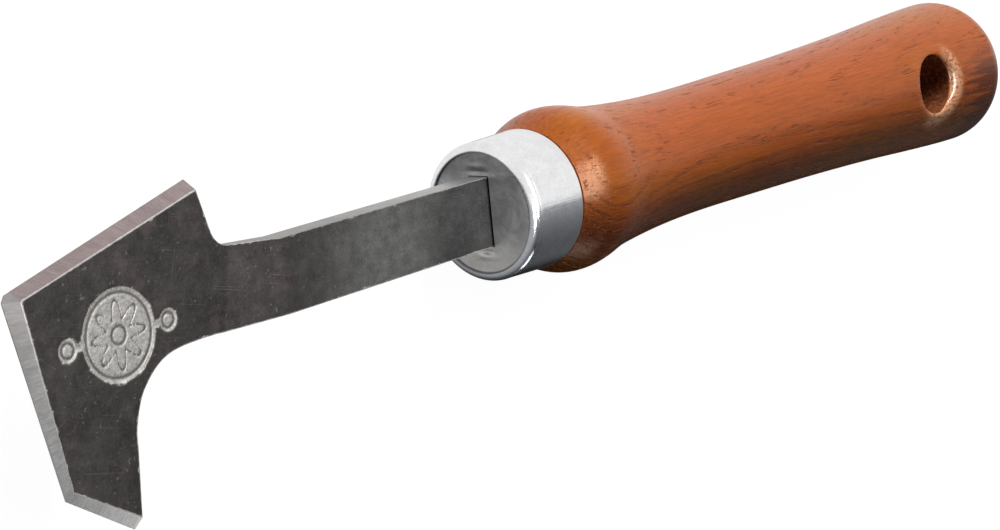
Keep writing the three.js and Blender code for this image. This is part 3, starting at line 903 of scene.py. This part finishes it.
def drawn_metal():
    """Pressed cap: a dull mottled face inside a bright rim, the side drawn lengthwise."""
    material, net, shader = new_material("drawn_metal")
    place = own_place(net)
    split = net.split(place)
    radius = net.hypot(split["Y"], split["Z"])
    face = net.times(net.minus(1.0, net.step(split["X"], 0.5, 0.8)),
                     net.minus(1.0, net.step(radius, FACE_FLAT_R - 0.2, FACE_FLAT_R + 0.2)))
    smudge = net.noise(place, 0.28, 4, 0.62, 0.6)
    tone = use(net, MOTTLE, Place=place, Clouds=0.10, Grit=0.07)["Factor"]
    color = net.blend(smudge, CAP_DARK, CAP_PALE)
    # Painted shade: the cap's lower side (-Y) is tinted bluish grey.
    color = net.blend(net.step(split["Y"], 3.0, -3.0), color, CAP_SHADE_TINT)
    dull = net.blend(net.step(smudge, 0.35, 0.65), FACE_DARK, FACE_PALE)
    lower = net.step(split["Y"], -3.0, -10.0)
    dull = net.blend(net.times(lower, 0.7), dull, FACE_LOWER)
    # Painted shade: the face is darkened by up to 62 % toward its top (+Y).
    dull = net.tinted(dull, net.fma(net.step(split["Y"], 2.0, 9.0), -0.62, 1.0))
    color = net.tinted(net.blend(face, color, dull), tone)
    # Painted shade: a dark ring in the crease where the flat face meets the bead.
    off_crease = net.math("ABSOLUTE", net.minus(radius, FACE_FLAT_R))
    crease_shade_mask = net.times(net.minus(1.0, net.step(off_crease, 0.08, 0.30)),
                     net.minus(1.0, net.step(split["X"], 0.2, 0.5)))
    color = net.blend(net.times(crease_shade_mask, 0.7), color, CREASE_SHADE)
    scuffs = use(net, STREAKS, Place=place, Turn=0.5, Spacing=3.0, Share=0.06)["Mask"]
    color = net.blend(net.times(scuffs, 0.25), color, SCUFF)
    pits = use(net, SPECKS, Place=place, Size=1.7, Share=0.05)["Mask"]
    color = net.blend(net.times(pits, 0.4), color, PIT)
    rough = net.fma(smudge, 0.16, 0.12)
    rough = net.plus(rough, net.times(face, 0.22))
    drawn = net.noise(net.scaled(place, (0.08, 1.3, 1.3)), 1.0, 3, 0.6)
    height = net.fma(drawn, 0.35,
                     net.times(net.noise(place, 0.9, 3, 0.6), net.fma(face, 0.9, 0.25)))
    net.fill(shader, Base_Color=color, Metallic=1.0, Roughness=rough,
             Normal=bump(net, height, 0.06))
    return material


def stained_ash():
    """Open-pored wood stained red-brown under a satin varnish.

    The pores on the under side (-Y) carry a pale painted highlight and that side is painted darker
    as shade; raw wood shows on the hole's rear lips, brightened there as a painted highlight."""
    material, net, shader = new_material("stained_ash")
    place = own_place(net)
    rings = use(net, GROWTH, Place=place)
    split = net.split(place)
    open_side = net.step(split["Y"], 5.0, -6.0)
    wood = use(net, PORES, Place=place,
               Band=net.times(rings["Band"], net.fma(open_side, 0.6, 0.4)))
    golden = net.times(net.step(rings["Figure"], 0.46, 0.66), 0.7)
    color = net.blend(golden, ASH_RED, ASH_GOLD)
    color = net.blend(net.times(rings["Band"], net.fma(open_side, 0.55, 0.05)), color, ASH_BAND)
    fibre = net.fma(wood["Fibre"], 0.9, 0.55)
    color = net.tinted(color, fibre)
    color = net.tinted(color, use(net, MOTTLE, Place=net.scaled(place, (0.4, 1, 1)),
                                  Clouds=0.08, Grit=0.05)["Factor"])
    dashes = use(net, SPECKS, Place=net.scaled(place, (0.14, 1, 1)), Size=1.9, Share=0.17)
    open_pores = net.times(dashes["Mask"], net.fma(rings["Band"], 0.75, 0.25))
    open_pores = net.math("MAXIMUM", open_pores, net.times(wood["Pores"], 0.7))
    # Painted light and shade on the under side (-Y): its pores take a pale painted highlight, more
    # of them show, and the wood there is painted 28 % darker as shade.
    under = net.step(split["Y"], -3.0, -10.0)
    lit_pore_color = net.blend(under, PORE_DARK, PORE_HIGHLIGHT)
    color = net.tinted(color, net.fma(under, -0.28, 1.0))
    color = net.blend(net.times(open_pores, net.fma(under, 0.4, 0.5)), color, lit_pore_color)
    stain = net.noise(net.scaled(place, (0.05, 0.55, 0.55)), 1.0, 3, 0.6)
    end_grain = net.step(net.fma(stain, 44.0, split["X"]), 188.0, 197.0)
    end_grain = net.times(end_grain, net.step(net.fma(stain, 9.0, split["Y"]), 13.0, 6.0))
    color = net.blend(net.times(end_grain, 0.85), color, END_GRAIN)
    # Raw wood on the hole's lip, kept to its rear lower side and brightened there as a painted
    # highlight.
    off_hole = net.fma(split["X"], 0.6, net.times(split["Y"], -0.4))
    lip = net.times(attribute(net, "lip"),
                    net.step(off_hole, 0.6 * HOLE_X - 1.6, 0.6 * HOLE_X + 2.2))
    raw = net.step(net.noise(net.scaled(place, (0.8, 1.5, 1.5)), 1.0, 3, 0.6), 0.36, 0.52)
    color = net.blend(net.times(net.times(lip, raw), 0.85), color, RAW_LIP_AND_HIGHLIGHT)
    # Painted shade: the wood inside the ferrule is painted near black.
    ferrule_shade_mask = net.minus(1.0, net.step(split["X"], 2.0, 14.0))
    color = net.blend(ferrule_shade_mask, color, SHADE_IN_FERRULE)
    # Painted shade: the bore's wall is painted dark, speckled with paler torn fibres.
    torn = net.step(net.noise(place, 1.3, 4, 0.7), 0.45, 0.70)
    color = net.blend(attribute(net, "bore"), color, net.blend(torn, BORE_SHADE, BORE_TORN))
    rough = net.fma(wood["Fibre"], 0.18, 0.18)
    rough = net.plus(rough, net.times(open_pores, 0.25))
    height = net.fma(open_pores, -1.0, net.times(wood["Fibre"], 0.5))
    height = net.fma(rings["Band"], -0.25, height)
    height = net.fma(net.times(lip, raw), 0.8, height)
    net.fill(shader, Base_Color=color, Roughness=rough, Specular_IOR_Level=0.3,
             Specular_Tint=VARNISH_TINT, Coat_Weight=net.fma(lip, 0.7, 0.03),
             Coat_Roughness=0.16, Normal=bump(net, height, 0.07))
    return material


blade = make_blade([rolled_steel(), ground_steel(), cut_steel()])
ferrule = make_ferrule([drawn_metal()])
handle = make_handle([stained_ash()])
for piece in (ferrule, handle):
    piece.data.set_sharp_from_angle(angle=math.radians(SHARP_ANGLE))
for piece, node, slot in ((blade, "blade", "blade_steel"), (ferrule, "ferrule", "ferrule_metal"),
                          (handle, "handle", "handle_wood")):
    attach(piece, "root")
    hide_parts(node)


# ---- floor, light and camera -----------------------------------------
FLOOR_HALF, FLOOR_GLOW = 6.0, 0.94
CAMERA_AT, CAMERA_AIM = (-339.1, 78.5, 285.0), (0.23, -10.21, 3.14)
CAMERA_UP, LENS, SENSOR = (0.2127, 0.9758, -0.0512), 84.05, 36


def make_floor():
    """A pale floor that glows by itself, and neither shades nor is mirrored in the tool."""
    mesh = bpy.data.meshes.new("floor")
    a = FLOOR_HALF
    mesh.from_pydata([(-a, -a, 0), (a, -a, 0), (a, a, 0), (-a, a, 0)], [], [(0, 1, 2, 3)])
    floor = bpy.data.objects.new("floor", mesh)
    bpy.context.scene.collection.objects.link(floor)
    material, net, shader = new_material("pale_floor")
    net.fill(shader, Base_Color=FLOOR_GREY, Roughness=0.9, Emission_Color=WHITE,
             Emission_Strength=FLOOR_GLOW)
    mesh.materials.append(material)
    floor.visible_diffuse = floor.visible_glossy = floor.visible_shadow = False


TENT = [(0.0, 0.05), (0.05, 0.05), (0.10, 0.05), (0.22, 0.11), (0.33, 0.18), (0.45, 0.29),
        (0.475, 0.90), (1.0, 0.88)]
FRONT_GLOW, BELOW_DIM = 0.46, 0.93


def make_world():
    """A pale tent, bright on the short point's side (+Y), dim on the hook's side and darker
    still below and behind.

    It is only mirrored; the lamps give the soft light."""
    world = bpy.data.worlds.new("tent")
    bpy.context.scene.world = world
    world.use_nodes = True
    net = Net(world.node_tree)
    split = net.split(net.node("TexCoord").outputs["Generated"])
    ramp = net.node("ValToRGB", {"Fac": net.fma(split["Y"], 0.5, 0.5)})
    stops = ramp.color_ramp.elements
    while len(stops) < len(TENT):
        stops.new(0.5)
    for stop, (position, level) in zip(stops, TENT):
        stop.position = position
        stop.color = (level, level, level, 1)
    glow = net.times(net.math("MAXIMUM", net.times(split["X"], -1.0), 0.0), FRONT_GLOW)
    rim = net.step(split["Z"], -0.46, -0.60)
    hookward = net.step(net.fma(rim, -0.16, split["Y"]), -0.08, -0.19)
    below = net.times(net.step(split["Z"], -0.08, -0.45),
                      net.times(hookward, net.step(split["X"], 0.2, 0.5)))
    light = net.times(net.math("MAXIMUM", ramp.outputs["Color"], glow),
                      net.fma(below, -BELOW_DIM, 1.0))
    net.put(world.node_tree.nodes["Background"].inputs["Color"], light)
    world.cycles_visibility.diffuse = False


def softbox(name, direction, target, distance, size, radiance, mirrored=True, soft=True):
    """A rectangular lamp seen from target in the given direction, as bright as radiance."""
    data = bpy.data.lights.new(name, "AREA")
    data.shape = "RECTANGLE"
    data.size, data.size_y = size
    data.energy = radiance * math.pi * size[0] * size[1]
    lamp = bpy.data.objects.new(name, data)
    bpy.context.scene.collection.objects.link(lamp)
    toward = Vector(direction).normalized()
    lamp.location = Vector(to_row(target)) + toward * distance
    lamp.rotation_euler = toward.to_track_quat("Z", "Y").to_euler()
    lamp.visible_glossy = mirrored
    lamp.visible_diffuse = soft


def make_camera():
    data = bpy.data.cameras.new("camera")
    camera = bpy.data.objects.new("camera", data)
    bpy.context.scene.collection.objects.link(camera)
    place = Vector(to_row(CAMERA_AT))
    up, back = Vector(CAMERA_UP), (place - Vector(to_row(CAMERA_AIM))).normalized()
    right = up.cross(back).normalized()
    up = back.cross(right)
    turn = Matrix((right, up, back)).transposed().to_4x4()
    camera.matrix_world = Matrix.Translation(place) @ turn
    data.lens, data.sensor_width = LENS, SENSOR
    data.clip_start = 0.01
    bpy.context.scene.camera = camera


make_floor()
make_world()
softbox("window", (0.06, 0.26, 0.96), (18, 5, 14), 1.2, (0.34, 1.0), 23.0, soft=False)
softbox("front_fill", (-0.65, -0.2, 0.72), (-110, -8, 0), 1.2, (0.5, 0.5), 9.0, soft=False)
softbox("low_fill", (0.28, -0.93, 0.21), (-100, -30, 0), 1.2, (0.5, 0.5), 2.0, soft=False)
softbox("key", (0.1, 0.88, 0.47), (30, 0, 0), 1.3, (0.7, 0.7), 13.3, mirrored=False)
softbox("under_fill", (0.1, -0.6, 0.8), (30, 0, 0), 1.3, (1.0, 1.0), 0.8, mirrored=False)
make_camera()
bpy.context.scene.view_settings.view_transform = "Standard"
